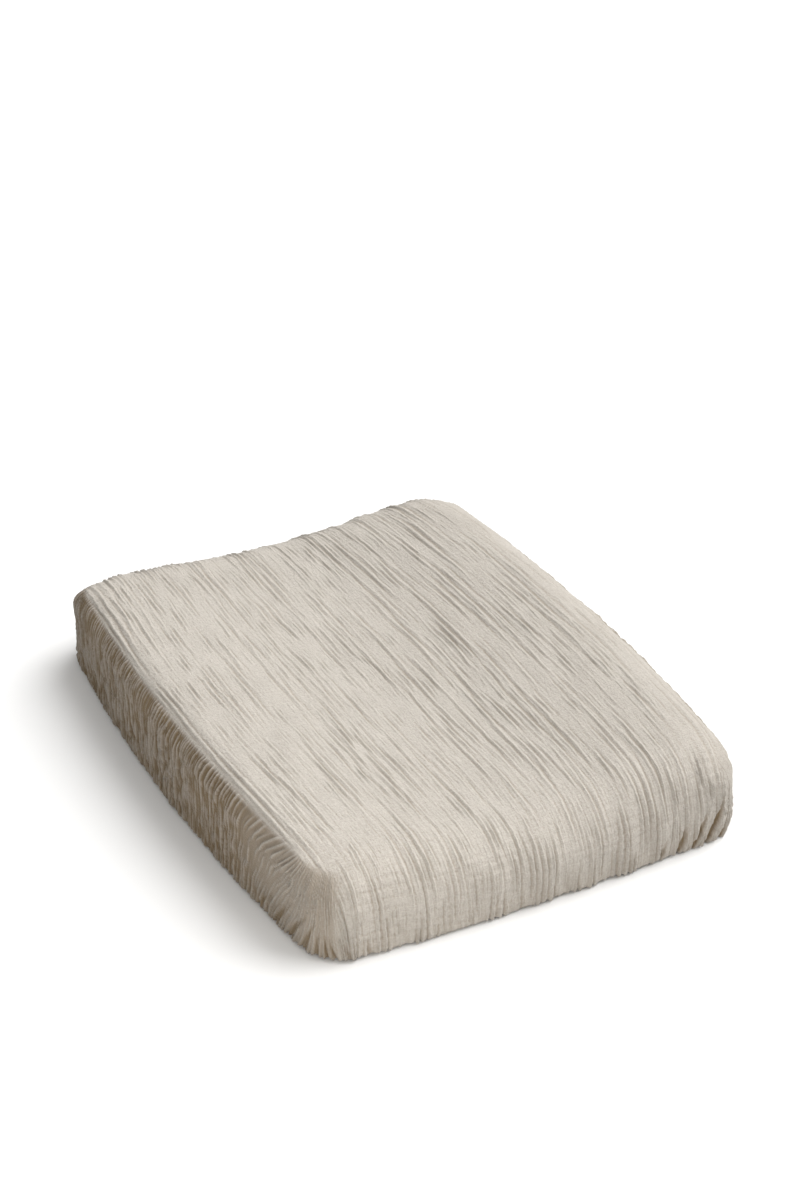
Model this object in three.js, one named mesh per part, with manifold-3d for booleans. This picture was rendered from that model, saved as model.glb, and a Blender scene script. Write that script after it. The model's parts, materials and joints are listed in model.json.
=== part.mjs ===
// Contoured baby changing mat with a fitted cover of crinkled double-gauze muslin.
// Millimetres, +Z up, length along Y. The mat stands on z = 0, centred on the origin.
//
// Two assemblies:
//   the mat   - a contoured foam core inside a wipe-clean film: top and sides,
//               base panel and the welded edge between them
//   the cover - muslin over the top and sides, its lower edge gathered in under
//               the mat, a hem channel with an elastic inside, and a care label
import * as THREE from 'three';
import { mergeVertices } from 'three/examples/jsm/utils/BufferGeometryUtils.js';
import Module from 'manifold-3d';

const wasm = await Module();
wasm.setup();

// ---- overall size, outside of the cover ----
const WIDTH = 510;          // across, at mid-length
const LENGTH = 650;         // along, on the centre line
const H_SIDE = 108;         // height of the two raised sides, at mid-length
const H_DISH = 90.5;        // height of the dish between them
const END_DROP = 10;        // how much lower the top runs at the two ends
const SIDE_BOW = 20;        // each long side bulges this much at mid-length
const END_BOW = 13;         // each short end bulges this much in the middle
const CORNER_R = 36;        // plan corner radius at the walls
const CORNER_GROW = 10;     // plan corner radius gained by the top of the rounding
const ROUND_LEFT = 28;      // rounding of the left (-X) top edge
const ROUND_RIGHT = 52;     // rounding of the right (+X) top edge, which is softer
const ROUND_END = 51;       // rounding of the two end top edges
const CREST = 0.6;          // the raised side peaks this far into its rounding

// ---- layers, measured inwards from the outside of the cover ----
const COVER_T = 1.5;        // double gauze with its crinkle
const LINER_AT = 1.9;
const LINER_T = 0.6;        // coated film
const FOAM_AT = 2.8;

// ---- base ----
const WALL_Z = 10;          // the walls are upright above this height
const HEM_Z = 0.4;          // underside of the hem
const HEM_T = 1.2;          // hem cloth
const HEM_IN = 54;          // how far the hem reaches in under the mat
const HEM_R = 90;           // plan corner radius of the hem's inner edge
const REBATE_Z = 4.7;       // underside of the base film over the hem
const FOOT_OFF = 56.8;      // the base film comes down to the floor inside this
const SLIT_W = 16;          // threading slit of the hem channel

const A = WIDTH / 2 - SIDE_BOW;
const B = LENGTH / 2 - END_BOW;

// Corner and side divisions of every ring
const N_CORNER = 4;
const N_LONG = 7;
const N_SHORT = 5;

// Each station round the plan: which corner circle, and the outward direction
const STATIONS = [];
{
  const corner = [[1, 1, 0], [-1, 1, 90], [-1, -1, 180], [1, -1, 270]];
  corner.forEach(([sx, sy, start], c) => {
    for (let i = 0; i <= N_CORNER; i++) {
      const t = THREE.MathUtils.degToRad(start + (90 * i) / N_CORNER);
      STATIONS.push({ sx, sy, nx: Math.cos(t), ny: Math.sin(t), next: null, f: 0 });
    }
    const [qx, qy] = corner[(c + 1) % 4];
    const n = c % 2 === 0 ? N_SHORT : N_LONG;
    const t = THREE.MathUtils.degToRad(start + 90);
    for (let i = 1; i < n; i++) {
      STATIONS.push({ sx, sy, nx: Math.cos(t), ny: Math.sin(t), next: [qx, qy], f: i / n });
    }
  });
}

// Bulges the plan: walls bow outwards between their corners
function bulge(x, y) {
  return [
    x * (1 + (SIDE_BOW / A) * (1 - (y / B) ** 2)),
    y * (1 + (END_BOW / B) * (1 - (x / A) ** 2)),
  ];
}

// Plan point of a station for a rounded rectangle, before the bulge
function plan(s, left, right, half, r) {
  const at = (sx, sy) => [
    sx * ((sx > 0 ? right : left) - r) + r * s.nx,
    sy * (half - r) + r * s.ny,
  ];
  const p = at(s.sx, s.sy);
  if (!s.next) return p;
  const q = at(s.next[0], s.next[1]);
  return [p[0] + (q[0] - p[0]) * s.f, p[1] + (q[1] - p[1]) * s.f];
}

// Height of the cover's top
function topZ(x, y) {
  const round = x < 0 ? ROUND_LEFT : ROUND_RIGHT;
  const t = Math.min(1, Math.abs(x) / (A - CREST * round));
  const rise = Math.sin((Math.PI / 2) * t) ** 2;
  return H_DISH + (H_SIDE - H_DISH) * rise - END_DROP * (y / B) ** 4;
}

// Ring of the rounded top edge; angle 0 is the wall, 90 the top
function roundRing(deg, depth) {
  const k = THREE.MathUtils.degToRad(deg);
  const c = 1 - Math.cos(k);
  return STATIONS.map((s) => {
    const inner = plan(s, A - ROUND_LEFT, A - ROUND_RIGHT, B - ROUND_END, CORNER_R + CORNER_GROW);
    const w = s.nx * s.nx;
    const r = (s.nx < 0 ? ROUND_LEFT : ROUND_RIGHT) * w + ROUND_END * (1 - w);
    const h = topZ(inner[0], inner[1]);
    const p = plan(s, A - ROUND_LEFT * c, A - ROUND_RIGHT * c, B - ROUND_END * c, CORNER_R + CORNER_GROW * c);
    const x = p[0] - depth * s.nx * Math.cos(k);
    const y = p[1] - depth * s.ny * Math.cos(k);
    const z = h - r * (1 - Math.sin(k)) - depth * Math.sin(k);
    return [...bulge(x, y), z];
  });
}

// Ring across the top, a fraction of the way out from the middle
function topRing(f, depth) {
  return STATIONS.map((s) => {
    const p = plan(s, A - ROUND_LEFT, A - ROUND_RIGHT, B - ROUND_END, CORNER_R + CORNER_GROW);
    const x = p[0] * f;
    const y = p[1] * f;
    return [...bulge(x, y), topZ(x, y) - depth];
  });
}

// Ring of the walls or the base, set in from the cover's outside
function lowRing(off, z) {
  const tight = CORNER_R - Math.min(off, 3);
  const r = tight + Math.max(0, off - 3) * ((HEM_R - CORNER_R + 3) / (HEM_IN - 3));
  return STATIONS.map((s) => {
    const p = plan(s, A - off, A - off, B - off, r);
    return [...bulge(p[0], p[1]), z];
  });
}

// Skins a run of rings. A pole is a single point that closes an end; with
// no poles the last ring joins the first. From ring number back on, the run
// climbs again, and its quads are split the other way so that nested skins
// stay parallel.
function loft(rings, poleA, poleB, back = Infinity) {
  const n = STATIONS.length;
  const pos = [];
  const idx = [];
  rings.forEach((ring) => ring.forEach((p) => pos.push(...p)));
  const quad = (r0, r1) => {
    for (let i = 0; i < n; i++) {
      const j = (i + 1) % n;
      if (r0 >= back) {
        idx.push(r0 * n + i, r1 * n + i, r0 * n + j);
        idx.push(r1 * n + i, r1 * n + j, r0 * n + j);
      } else {
        idx.push(r0 * n + i, r1 * n + i, r1 * n + j);
        idx.push(r0 * n + i, r1 * n + j, r0 * n + j);
      }
    }
  };
  for (let r = 0; r + 1 < rings.length; r++) quad(r, r + 1);
  if (poleA) {
    const at = pos.length / 3;
    pos.push(...poleA);
    for (let i = 0; i < n; i++) idx.push(at, i, (i + 1) % n);
    const last = rings.length - 1;
    pos.push(...poleB);
    for (let i = 0; i < n; i++) idx.push(at + 1, last * n + ((i + 1) % n), last * n + i);
  } else {
    quad(rings.length - 1, 0);
  }
  const g = new THREE.BufferGeometry();
  g.setAttribute('position', new THREE.Float32BufferAttribute(pos, 3));
  g.setIndex(idx);
  return outward(g);
}

// Turns a closed body's faces outwards
function outward(g) {
  const p = g.attributes.position;
  const ix = g.index.array;
  const a = new THREE.Vector3();
  const b = new THREE.Vector3();
  const c = new THREE.Vector3();
  let volume = 0;
  for (let i = 0; i < ix.length; i += 3) {
    a.fromBufferAttribute(p, ix[i]);
    b.fromBufferAttribute(p, ix[i + 1]);
    c.fromBufferAttribute(p, ix[i + 2]);
    volume += a.dot(b.cross(c));
  }
  if (volume < 0) {
    const out = Array.from(ix);
    for (let i = 0; i < out.length; i += 3) [out[i + 1], out[i + 2]] = [out[i + 2], out[i + 1]];
    g.setIndex(out);
  }
  g.computeVertexNormals();
  return g;
}

function toManifold(g) {
  let m = g.clone();
  m.deleteAttribute('normal');
  if (m.attributes.uv) m.deleteAttribute('uv');
  m = mergeVertices(m, 1e-5);
  return new wasm.Manifold(new wasm.Mesh({
    numProp: 3,
    vertProperties: new Float32Array(m.attributes.position.array),
    triVerts: new Uint32Array(m.index.array),
  }));
}

function fromManifold(m) {
  const mesh = m.getMesh();
  const g = new THREE.BufferGeometry();
  g.setAttribute('position', new THREE.Float32BufferAttribute(mesh.vertProperties, 3));
  g.setIndex(Array.from(mesh.triVerts));
  g.computeVertexNormals();
  return g;
}

const ROUNDS = [90, 72, 54, 36, 18, 0];
const SPREAD = [0.2, 0.4, 0.6, 0.8];

// Rings of one side of a skin, from the middle of the top down to a height
function skin(depth, foot) {
  return [
    ...SPREAD.map((f) => topRing(f, depth)),
    ...ROUNDS.map((deg) => roundRing(deg, depth)),
    lowRing(depth, foot),
  ];
}
const middle = (depth) => [0, 0, topZ(0, 0) - depth];

// A skin over the top and down the walls, open below
function shell(depth, thickness, foot) {
  const outer = skin(depth, foot);
  return loft(
    [...outer, ...skin(depth + thickness, foot).reverse()],
    middle(depth),
    middle(depth + thickness),
    outer.length,
  );
}

const group = new THREE.Group();
group.name = 'changing_mat';
function add(parent, name, geometry, color, roughness) {
  const mesh = new THREE.Mesh(
    geometry,
    new THREE.MeshStandardMaterial({ color, roughness, metalness: 0 }),
  );
  mesh.name = name;
  parent.add(mesh);
  return mesh;
}

// ---------------- the mat ----------------
const mat = new THREE.Group();
mat.name = 'mat';
group.add(mat);

// Foam core: dished top, upright walls, and a rebate round the underside
// where the cover's hem lies
add(mat, 'foam_core', loft(
  [
    ...skin(FOAM_AT, 12),
    lowRing(4.0, 11.2),
    lowRing(4.0, 9.5),
    lowRing(5.2, 5.6),
    lowRing(FOOT_OFF + 0.9, 5.6),
    lowRing(FOOT_OFF + 0.9, 0.9),
  ],
  middle(FOAM_AT),
  [0, 0, 0.9],
), 0xe9dfc4, 0.9);

// Wipe-clean film over the top and sides of the foam
add(mat, 'liner_top', shell(LINER_AT, LINER_T, 11.5), 0xf1efe9, 0.45);

// Base film: flat on the floor in the middle, stepped up over the hem, and
// turned up to the weld round the edge
add(mat, 'liner_base', loft(
  [
    lowRing(FOOT_OFF, 0),
    lowRing(FOOT_OFF, REBATE_Z),
    lowRing(4.2, REBATE_Z),
    lowRing(3.0, 6.5),
    lowRing(2.2, 8.0),
    lowRing(1.95, 9.3),
    lowRing(2.55, 9.3),
    lowRing(2.8, 8.2),
    lowRing(3.6, 6.8),
    lowRing(4.6, REBATE_Z + LINER_T),
    lowRing(FOOT_OFF + LINER_T, REBATE_Z + LINER_T),
    lowRing(FOOT_OFF + LINER_T, LINER_T),
  ],
  [0, 0, 0],
  [0, 0, LINER_T],
), 0xe6e4de, 0.5);

// Welded edge that joins the two films
add(mat, 'liner_weld', loft([
  lowRing(1.9, 9.6),
  lowRing(1.9, 11.2),
  lowRing(3.4, 11.2),
  lowRing(3.4, 9.6),
]), 0xe2e0d9, 0.4);

// ---------------- the cover ----------------
const cover = new THREE.Group();
cover.name = 'cover';
group.add(cover);

// Muslin over the top and down the walls
add(cover, 'muslin_cover', shell(0, COVER_T, WALL_Z), 0xc9c1b8, 0.95);

// Lower edge of the muslin, turned in under the mat and folded over into a
// channel for the elastic
{
  const curl = (r, deg) => {
    const k = THREE.MathUtils.degToRad(deg);
    return [WALL_Z - r * Math.sin(k), WALL_Z - (r - HEM_Z) * Math.cos(k)];
  };
  const inner = WALL_Z - HEM_T;
  const outside = [[0, WALL_Z - 0.3], curl(WALL_Z, 60), curl(WALL_Z, 30), curl(WALL_Z, 0)];
  const inside = [curl(inner, 0), curl(inner, 30), curl(inner, 60), [HEM_T, WALL_Z - 0.3]];
  const body = loft([
    ...outside.map(([o, z]) => lowRing(o, z)),
    lowRing(HEM_IN, HEM_Z),
    lowRing(HEM_IN, HEM_Z + 4),
    lowRing(HEM_IN - 14, HEM_Z + 4),
    lowRing(HEM_IN - 14, HEM_Z + HEM_T),
    ...inside.map(([o, z]) => lowRing(o, z)),
  ]);
  const hollow = loft([
    lowRing(HEM_IN - 9.8, HEM_Z + HEM_T),
    lowRing(HEM_IN - HEM_T, HEM_Z + HEM_T),
    lowRing(HEM_IN - HEM_T, HEM_Z + 2.8),
    lowRing(HEM_IN - 9.8, HEM_Z + 2.8),
  ]);
  // threading slit through the channel's inner edge, at the far end
  const slit = new THREE.BoxGeometry(SLIT_W, 14, 1.2);
  slit.translate(0, LENGTH / 2 - HEM_IN - 2, HEM_Z + 2.0);
  const cut = toManifold(body).subtract(toManifold(hollow)).subtract(toManifold(slit));
  add(cover, 'hem_channel', fromManifold(cut), 0xc4bbb0, 0.95);
}

// Elastic, lying flat in the channel all the way round
add(cover, 'hem_elastic', loft([
  lowRing(HEM_IN - 9.5, HEM_Z + 1.5),
  lowRing(HEM_IN - 1.5, HEM_Z + 1.5),
  lowRing(HEM_IN - 1.5, HEM_Z + 2.5),
  lowRing(HEM_IN - 9.5, HEM_Z + 2.5),
]), 0xf3f1ec, 0.8);

// Blank care label, sewn flat to the inside of the hem at the far end
{
  const label = add(cover, 'care_label', new THREE.BoxGeometry(34, 20, 0.6), 0xfaf9f6, 0.7);
  label.position.set(70, LENGTH / 2 - 26, HEM_Z + HEM_T + 0.7);
}

export default group;
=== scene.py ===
"""Contoured baby changing mat with a fitted cover of crinkled double-gauze muslin.

Metres, in the row frame: +Z up, +Y along the mat, standing on z = 0.
The cloth is one dense sheet: a grid over the top, and rings from the top's
edge down the walls and in under the mat. It follows the same rounded, dished
form as the CAD cover, and its crinkle, gathers and pleats are real relief.
"""

import json
import math

import bpy
import numpy as np
from mathutils import Matrix, Vector

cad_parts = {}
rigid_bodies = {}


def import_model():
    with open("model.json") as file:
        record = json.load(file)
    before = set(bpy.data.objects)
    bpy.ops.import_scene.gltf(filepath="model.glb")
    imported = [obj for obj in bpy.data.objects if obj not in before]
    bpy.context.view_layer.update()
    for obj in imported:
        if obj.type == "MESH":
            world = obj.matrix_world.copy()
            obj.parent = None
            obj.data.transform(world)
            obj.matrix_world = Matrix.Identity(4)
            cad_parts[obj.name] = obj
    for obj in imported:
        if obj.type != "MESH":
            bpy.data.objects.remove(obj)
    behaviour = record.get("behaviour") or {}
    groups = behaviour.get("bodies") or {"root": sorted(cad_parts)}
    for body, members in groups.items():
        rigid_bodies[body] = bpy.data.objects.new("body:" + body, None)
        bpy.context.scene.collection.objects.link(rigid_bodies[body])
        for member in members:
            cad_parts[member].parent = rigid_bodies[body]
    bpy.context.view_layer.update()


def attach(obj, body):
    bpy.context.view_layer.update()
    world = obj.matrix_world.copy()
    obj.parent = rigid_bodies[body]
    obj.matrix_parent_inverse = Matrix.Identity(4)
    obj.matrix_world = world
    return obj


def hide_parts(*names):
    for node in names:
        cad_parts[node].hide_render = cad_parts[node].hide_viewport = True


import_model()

MM = 0.001

# ---------------------------------------------------------------- form (mm)
WIDTH, LENGTH = 510.0, 650.0
H_SIDE, H_DISH, END_DROP = 108.0, 90.5, 10.0
SIDE_BOW, END_BOW = 20.0, 13.0
CORNER_R, CORNER_GROW = 36.0, 10.0
ROUND_LEFT, ROUND_RIGHT, ROUND_END = 28.0, 52.0, 51.0
CREST = 0.6
WALL_Z = 7.5
HEM_IN, HEM_R = 54.0, 90.0
A = WIDTH / 2 - SIDE_BOW
B = LENGTH / 2 - END_BOW
TOP_LEFT, TOP_RIGHT, TOP_HALF = A - ROUND_LEFT, A - ROUND_RIGHT, B - ROUND_END
TOP_R = CORNER_R + CORNER_GROW


def smooth(x, a, b):
    t = np.clip((np.asarray(x, float) - a) / (b - a), 0, 1)
    return t * t * (3 - 2 * t)


def bulge(x, y):
    return (
        x * (1 + SIDE_BOW / A * (1 - (y / B) ** 2)),
        y * (1 + END_BOW / B * (1 - (x / A) ** 2)),
    )


def top_z(x, y):
    edge = np.where(x < 0, A - CREST * ROUND_LEFT, A - CREST * ROUND_RIGHT)
    t = np.minimum(1, np.abs(x) / edge)
    return (
        H_DISH
        + (H_SIDE - H_DISH) * np.sin(np.pi / 2 * t) ** 2
        - END_DROP * (y / B) ** 4
    )


class Outline:
    """Stations round the plan, in the order of the top grid's boundary. Each
    step of the grid is split along the two long sides and round the corners,
    so that gathers and pleats are drawn as finely as the crinkle of the top.
    From ring to ring a station of a straight part keeps its place along that
    part, and the stations of the corners take up what is left over."""

    def __init__(self, nx, ny, split=3):
        self.nx, self.ny, self.split = nx, ny, split
        gx = np.linspace(-TOP_LEFT, TOP_RIGHT, nx + 1)
        gy = np.linspace(-TOP_HALF, TOP_HALF, ny + 1)
        self.gx, self.gy = gx, gy
        cxr, cxl, cy = TOP_RIGHT - TOP_R, -(TOP_LEFT - TOP_R), TOP_HALF - TOP_R
        ids = [(nx, j) for j in range(0, ny)]
        ids += [(i, ny) for i in range(nx, 0, -1)]
        ids += [(0, j) for j in range(ny, 0, -1)]
        ids += [(i, 0) for i in range(0, nx)]
        self.ids = np.array(ids)
        spots, self.coarse = [], []
        for k, (i, j) in enumerate(ids):
            i2, j2 = ids[(k + 1) % len(ids)]
            self.coarse.append(len(spots))
            parts = split if i == i2 else 1
            mx, my = (gx[i] + gx[i2]) / 2, (gy[j] + gy[j2]) / 2
            if split > 1 and (mx > cxr or mx < cxl) and abs(my) > cy:
                parts *= 2
            for m in range(parts):
                f = m / parts
                spots.append((gx[i] * (1 - f) + gx[i2] * f, gy[j] * (1 - f) + gy[j2] * f))
        self.coarse = np.array(self.coarse)
        self.xy = np.array(spots)
        x, y = self.xy.T
        self.sx, self.sy = np.where(x > 0, 1.0, -1.0), np.where(y > 0, 1.0, -1.0)
        self.cx, self.cy = np.where(x > 0, cxr, -cxl), cy
        self.p = (np.abs(x) - self.cx) / TOP_R
        self.q = (np.abs(y) - cy) / TOP_R
        self.end = self.q >= self.p  # on an end rather than on a long side
        self.n = self.shape(A, A, B, CORNER_R)[1]

    def shape(self, left, right, half, r):
        """Where each station stands on an outline: its place on the straight
        skeleton, from -1 to 1, and its outward direction."""
        side = np.where(self.sx > 0, right, left)
        reach = np.where(self.end, side, half) - r
        keep = np.where(self.end, self.cx, self.cy)
        along = np.where(self.end, np.abs(self.xy[:, 0]), np.abs(self.xy[:, 1]))
        part = np.where(self.end, self.p, self.q)
        corner = part > 0
        scale = np.minimum(reach / keep, 1.0)
        extra = np.maximum(reach - keep, 0.0)
        g = np.arcsin(np.clip(part, 0, 1) * math.sqrt(0.5)) / (math.pi / 4)
        run = g * (extra + r * math.pi / 4)
        phi = np.where(corner, np.maximum(run - extra, 0.0) / r, 0.0)
        u = np.where(corner, np.minimum(keep * scale + run, reach), along * scale) / reach
        core = np.where(self.end, u * self.sx, self.sx), np.where(self.end, self.sy, u * self.sy)
        si, co = np.sin(phi), np.cos(phi)
        n = np.where(self.end, si, co) * self.sx, np.where(self.end, co, si) * self.sy
        return np.stack(core, 1), np.stack(n, 1)

    def at(self, core, n, left, right, half, r):
        side = np.where(self.sx > 0, right, left)
        return np.stack([core[:, 0] * (side - r), core[:, 1] * (half - r)], 1) + r * n

    def grid(self):
        """Plan points of the top grid, its corners rounded to the top's outline."""
        x, y = np.meshgrid(self.gx, self.gy, indexing="ij")
        cxr, cxl, cy = TOP_RIGHT - TOP_R, -(TOP_LEFT - TOP_R), TOP_HALF - TOP_R
        p = np.where(x > 0, x - cxr, cxl - x) / TOP_R
        q = (np.abs(y) - cy) / TOP_R
        inside = (p > 0) & (q > 0)
        p, q = np.clip(p, 0, 1), np.clip(q, 0, 1)
        p2, q2 = p * np.sqrt(1 - q * q / 2), q * np.sqrt(1 - p * p / 2)
        xx = np.where(x > 0, cxr + TOP_R * p2, cxl - TOP_R * p2)
        yy = np.sign(y) * (cy + TOP_R * q2)
        return np.where(inside, xx, x), np.where(inside, yy, y)

    def round_ring(self, deg, depth=0.0):
        """Plan points, heights and directions of a ring of the rounded edge."""
        k = math.radians(deg)
        c = 1 - math.cos(k)
        dims = (A - ROUND_LEFT * c, A - ROUND_RIGHT * c, B - ROUND_END * c, CORNER_R + CORNER_GROW * c)
        core, n = self.shape(*dims)
        inner = self.at(core, n, TOP_LEFT, TOP_RIGHT, TOP_HALF, TOP_R)
        w = n[:, 0] ** 2
        r = np.where(n[:, 0] < 0, ROUND_LEFT, ROUND_RIGHT) * w + ROUND_END * (1 - w)
        h = top_z(inner[:, 0], inner[:, 1])
        p = self.at(core, n, *dims) - depth * n * math.cos(k)
        return p, h - r * (1 - math.sin(k)) - depth * math.sin(k), n

    def low_ring(self, off, z):
        """Plan points, heights and directions of a ring of the walls or base."""
        r = CORNER_R - min(off, 3) + max(0, off - 3) * (HEM_R - CORNER_R + 3) / (
            HEM_IN - 3
        )
        dims = (A - off, A - off, B - off, r)
        core, n = self.shape(*dims)
        return self.at(core, n, *dims), np.full(len(n), float(z)), n


def solid(ring):
    """A ring's points in space."""
    p, z = ring[:2]
    return np.column_stack([*bulge(p[:, 0], p[:, 1]), z])


def ring_faces(first, second):
    """Quads between two rings of vertex indices, facing outwards."""
    return np.stack([first, second, np.roll(second, -1), np.roll(first, -1)], 1)


def join_faces(top, coarse, fine):
    """Faces between the top grid's edge and a ring with more stations."""
    quads, tris = [], []
    n = len(top)
    for k in range(n):
        a, b = top[k], top[(k + 1) % n]
        s = coarse[k]
        e = coarse[(k + 1) % n] if k + 1 < n else len(fine)
        run = [fine[m % len(fine)] for m in range(s, e + 1)]
        for m in range(len(run) - 2):
            tris.append((a, run[m], run[m + 1]))
        quads.append((a, run[-2], run[-1], b))
    return np.array(quads), np.array(tris).reshape(-1, 3)


class Skin:
    """A sheet over the mat: top grid, then rings outwards and down."""

    def __init__(self, nx, ny, rings, depth=0.0, split=3):
        o = Outline(nx, ny, split)
        self.o = o
        gx, gy = o.grid()
        top = np.column_stack(
            [
                *bulge(gx.ravel(), gy.ravel()),
                top_z(gx.ravel(), gy.ravel()) - depth,
            ]
        )
        idx = np.arange((nx + 1) * (ny + 1)).reshape(nx + 1, ny + 1)
        quads = [
            np.stack(
                [
                    idx[:-1, :-1].ravel(),
                    idx[1:, :-1].ravel(),
                    idx[1:, 1:].ravel(),
                    idx[:-1, 1:].ravel(),
                ],
                1,
            )
        ]
        tris = []
        n_ring = len(o.n)
        edge = o.at(*o.shape(TOP_LEFT, TOP_RIGHT, TOP_HALF, TOP_R), TOP_LEFT, TOP_RIGHT, TOP_HALF, TOP_R)
        pts = [top]
        count = len(top)
        flat = [np.column_stack([gx.ravel(), gy.ravel()])]
        spread = edge.copy()
        self.dir = [np.zeros((len(top), 2))]
        before, z_before = edge, top_z(edge[:, 0], edge[:, 1]) - depth
        self.ring_of = [np.full(len(top), -1)]
        self.station = [np.full(len(top), -1)]
        last = None
        for k, made in enumerate(rings):
            p, pz, n = made(o)
            # unrolled from the top: outwards by the true length of cloth, and
            # along the edge by as much as the plan widens
            go = ((p - before) * n).sum(1)
            spread = spread + (p - before) + n * (np.hypot(go, pz - z_before) - go)[:, None]
            self.dir.append(n)
            before, z_before = p, pz
            now = count + np.arange(n_ring)
            if last is None:
                q, t = join_faces(idx[o.ids[:, 0], o.ids[:, 1]], o.coarse, now)
                quads.append(q)
                tris.append(t)
            else:
                quads.append(ring_faces(last, now))
            pts.append(solid((p, pz)))
            flat.append(spread)
            self.ring_of.append(np.full(n_ring, k))
            self.station.append(np.arange(n_ring))
            count += n_ring
            last = now
        self.v = np.concatenate(pts)
        self.f = [np.concatenate(quads)]
        if len(tris[0]):
            self.f.append(tris[0])
        self.flat = np.concatenate(flat)
        self.dir = np.concatenate(self.dir)
        self.ring_of = np.concatenate(self.ring_of)
        self.station = np.concatenate(self.station)
        self.last = last
        self.n_ring = n_ring
        self.n_top = len(top)


def normals(v, faces):
    out = np.zeros_like(v)
    for f in faces:
        a, b, c = v[f[:, 0]], v[f[:, 1]], v[f[:, 2]]
        n = np.cross(c - a, v[f[:, 3]] - b) if f.shape[1] == 4 else np.cross(b - a, c - a)
        for i in range(f.shape[1]):
            for ax in range(3):
                out[:, ax] += np.bincount(f[:, i], n[:, ax], len(v))
    return out / np.maximum(np.linalg.norm(out, axis=1), 1e-12)[:, None]


# ------------------------------------------------------- noise on a flat grid
class Field:
    """Band-limited noise on a flat, wrapping grid. Its ridges run along y."""

    SIZE, STEP = 1280, 0.78

    def __init__(self, wave, spread, angle, seed, tilt=0.0):
        n = self.SIZE
        rng = np.random.default_rng(seed)
        k = np.fft.fftfreq(n, self.STEP)
        kx, ky = np.meshgrid(k, k, indexing="ij")
        r = np.hypot(kx, ky)
        k0 = 1.0 / wave
        th = np.arctan2(ky, kx)
        th = np.abs((th - math.radians(tilt) + np.pi / 2) % np.pi - np.pi / 2)
        w = np.exp(-((r - k0) ** 2) / (2 * (spread * k0) ** 2))
        if angle is not None:
            w = w * np.exp(-(th**2) / (2 * math.radians(angle) ** 2))
        f = np.fft.ifft2(np.fft.fft2(rng.standard_normal((n, n))) * w).real
        self.f = (f / f.std()).astype(np.float32)

    def __call__(self, x, y):
        n = self.SIZE
        gx, gy = np.asarray(x) / self.STEP, np.asarray(y) / self.STEP
        i0, j0 = np.floor(gx).astype(int), np.floor(gy).astype(int)
        fx, fy = gx - i0, gy - j0
        i0, j0 = i0 % n, j0 % n
        i1, j1 = (i0 + 1) % n, (j0 + 1) % n
        f = self.f
        return (
            f[i0, j0] * (1 - fx) * (1 - fy)
            + f[i1, j0] * fx * (1 - fy)
            + f[i0, j1] * (1 - fx) * fy
            + f[i1, j1] * fx * fy
        )


def folds(r, sharp=2.2, lift=0.25):
    """Noise to soft folds that stand up from a flatter ground."""
    return np.log1p(np.exp(sharp * (r - lift))) / sharp


# ------------------------------------------------------------------- meshes
def make(name, verts, faces, uv=None, attrs=None, smooth_shade=True):
    """A mesh object from millimetre vertices and one or more arrays of faces."""
    me = bpy.data.meshes.new(name)
    v = np.asarray(verts, float) * MM
    if isinstance(faces, np.ndarray):
        faces = [faces]
    me.vertices.add(len(v))
    me.vertices.foreach_set("co", v.astype(np.float32).ravel())
    loops = np.concatenate([f.ravel() for f in faces]).astype(np.int32)
    sizes = np.concatenate([np.full(len(f), f.shape[1]) for f in faces])
    me.loops.add(len(loops))
    me.loops.foreach_set("vertex_index", loops)
    me.polygons.add(len(sizes))
    me.polygons.foreach_set(
        "loop_start", np.concatenate([[0], np.cumsum(sizes)[:-1]]).astype(np.int32)
    )
    me.update(calc_edges=True)
    me.validate()
    if uv is not None:
        layer = me.uv_layers.new(name="OFBake")
        loops = np.empty(len(me.loops), np.int32)
        me.loops.foreach_get("vertex_index", loops)
        layer.data.foreach_set("uv", uv[loops].astype(np.float32).ravel())
    for key, val in (attrs or {}).items():
        a = me.attributes.new(key, "FLOAT", "POINT")
        a.data.foreach_set("value", np.asarray(val, np.float32))
    if smooth_shade:
        me.polygons.foreach_set("use_smooth", np.ones(len(me.polygons), bool))
    me.update()
    ob = bpy.data.objects.new(name, me)
    bpy.context.scene.collection.objects.link(ob)
    return ob


# ---------------------------------------------------------------- materials
def material(name):
    m = bpy.data.materials.new(name)
    m.use_nodes = True
    nt = m.node_tree
    nt.nodes.clear()
    out = nt.nodes.new("ShaderNodeOutputMaterial")
    bsdf = nt.nodes.new("ShaderNodeBsdfPrincipled")
    nt.links.new(bsdf.outputs[0], out.inputs[0])
    return m, nt, bsdf


def node(nt, kind, **kw):
    n = nt.nodes.new(kind)
    for k, v in kw.items():
        setattr(n, k, v)
    return n


def noise(nt, coord, scale, detail=2.0, rough=0.5):
    n = nt.nodes.new("ShaderNodeTexNoise")
    n.inputs["Scale"].default_value = scale
    n.inputs["Detail"].default_value = detail
    n.inputs["Roughness"].default_value = rough
    nt.links.new(coord, n.inputs["Vector"])
    return n.outputs["Fac"]


def mapped(nt, coord, scale):
    m = nt.nodes.new("ShaderNodeMapping")
    m.inputs["Scale"].default_value = scale
    nt.links.new(coord, m.inputs["Vector"])
    return m.outputs[0]


def math_node(nt, op, a, b=None, c=None, clamp=False):
    n = nt.nodes.new("ShaderNodeMath")
    n.operation = op
    n.use_clamp = clamp
    for i, v in enumerate((a, b, c)):
        if v is None:
            continue
        if isinstance(v, (int, float)):
            n.inputs[i].default_value = v
        else:
            nt.links.new(v, n.inputs[i])
    return n.outputs[0]


def ramp(nt, fac, stops):
    n = nt.nodes.new("ShaderNodeValToRGB")
    el = n.color_ramp.elements
    while len(el) < len(stops):
        el.new(0.5)
    for e, (pos, col) in zip(el, stops):
        e.position = pos
        e.color = (*col, 1.0)
    nt.links.new(fac, n.inputs[0])
    return n.outputs[0]


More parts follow.
